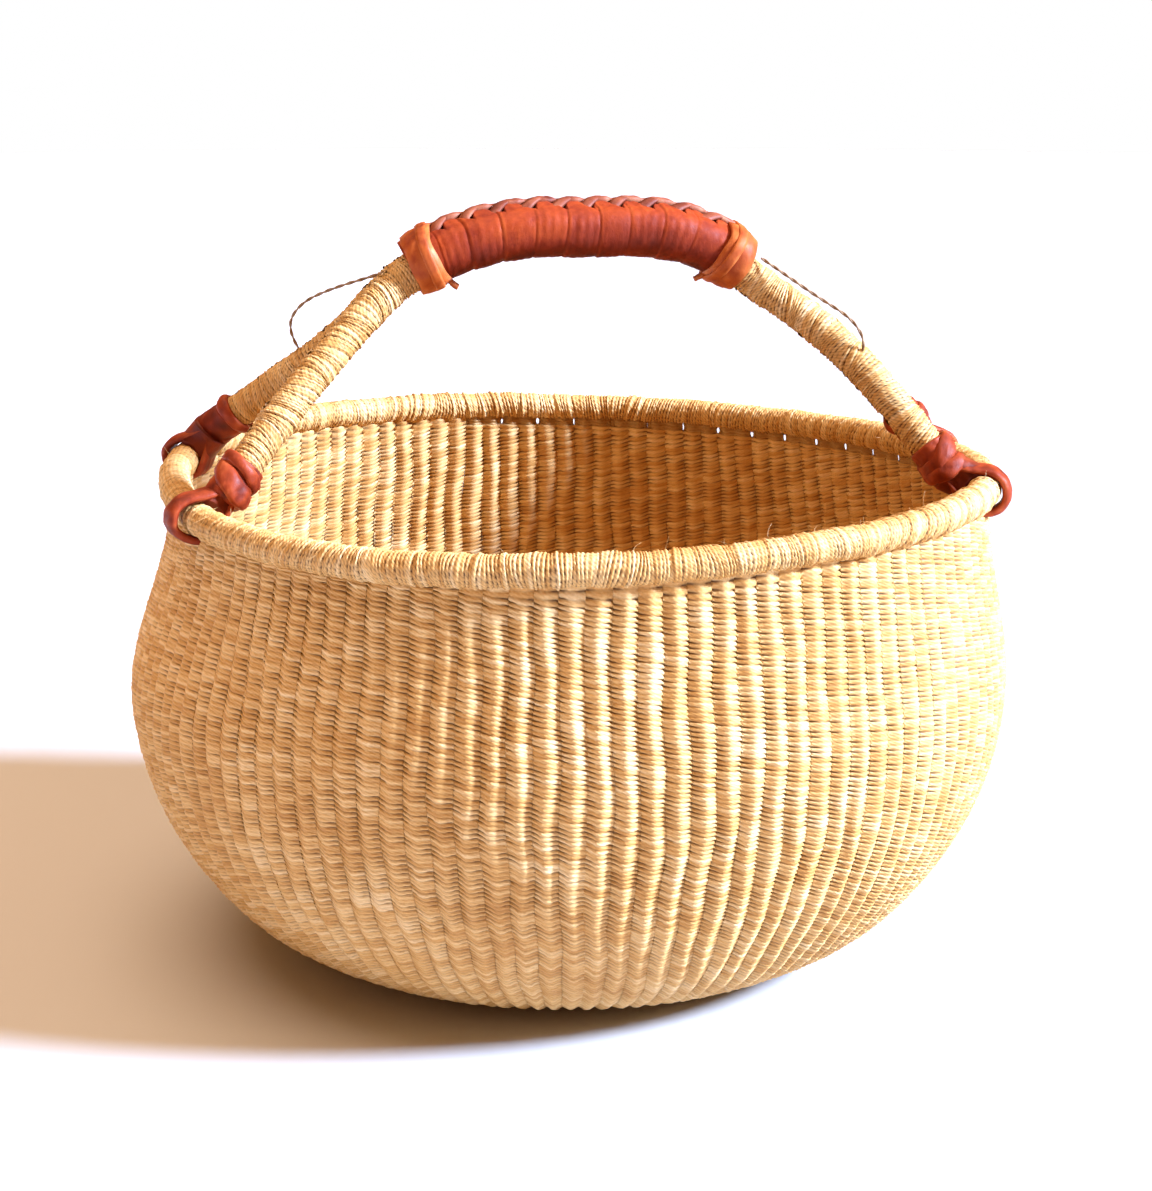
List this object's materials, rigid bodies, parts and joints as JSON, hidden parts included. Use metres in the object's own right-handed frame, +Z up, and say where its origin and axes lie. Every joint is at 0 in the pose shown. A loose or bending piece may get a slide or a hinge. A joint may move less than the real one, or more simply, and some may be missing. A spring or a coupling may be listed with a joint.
{
  "type": "woven grass basket",
  "caption": "Round bulging woven grass basket with a wrapped rim and an arched bail handle: wrapped grass bundles, a laced leather grip, and leather straps looped round the rim.",
  "frame": {"origin": "middle of the base, on the floor", "axes": "+Z up, +X along the handle, -Y towards the side with the wider-spread handle ends"},
  "size_m": [0.4002, 0.4004, 0.3365],
  "materials": {
    "grass_weave": "matte woven elephant grass",
    "grass_wrap": "matte twisted grass wrapping",
    "grass_bundle": "matte grass stalks",
    "grip_leather": "soft terracotta goat leather",
    "collar_leather": "soft orange leather",
    "dark_leather": "soft red-brown leather",
    "twisted_cord": "matte two-ply grass cord"
  },
  "bodies": {
    "basket": {"woven_base": "grass_weave", "woven_wall": "grass_weave", "rim_core": "grass_bundle", "rim_wrap": "grass_wrap", "strap_front_left": "dark_leather", "strap_rear_left": "dark_leather", "strap_front_right": "dark_leather", "strap_rear_right": "dark_leather"},
    "handle": {"arm_core_front": "grass_bundle", "arm_core_rear": "grass_bundle", "arm_wrap_front_left": "grass_wrap", "end_wrap_front_left": "dark_leather", "arm_wrap_rear_left": "grass_wrap", "end_wrap_rear_left": "dark_leather", "arm_wrap_front_right": "grass_wrap", "end_wrap_front_right": "dark_leather", "arm_wrap_rear_right": "grass_wrap", "end_wrap_rear_right": "dark_leather", "grip_cover": "grip_leather", "grip_lacing": "grip_leather", "collar_left": "collar_leather", "collar_right": "collar_leather", "tie_cord_left": "twisted_cord", "tie_cord_right": "twisted_cord"}
  },
  "joints": [
    {"name": "handle_rock", "type": "hinge", "parent": "basket", "child": "handle", "pos_m": [0, 0, 0.212], "axis": [1, 0, 0], "range_deg": [-4, 4], "deforming": ["strap_front_left", "strap_rear_left", "strap_front_right", "strap_rear_right"]}
  ]
}
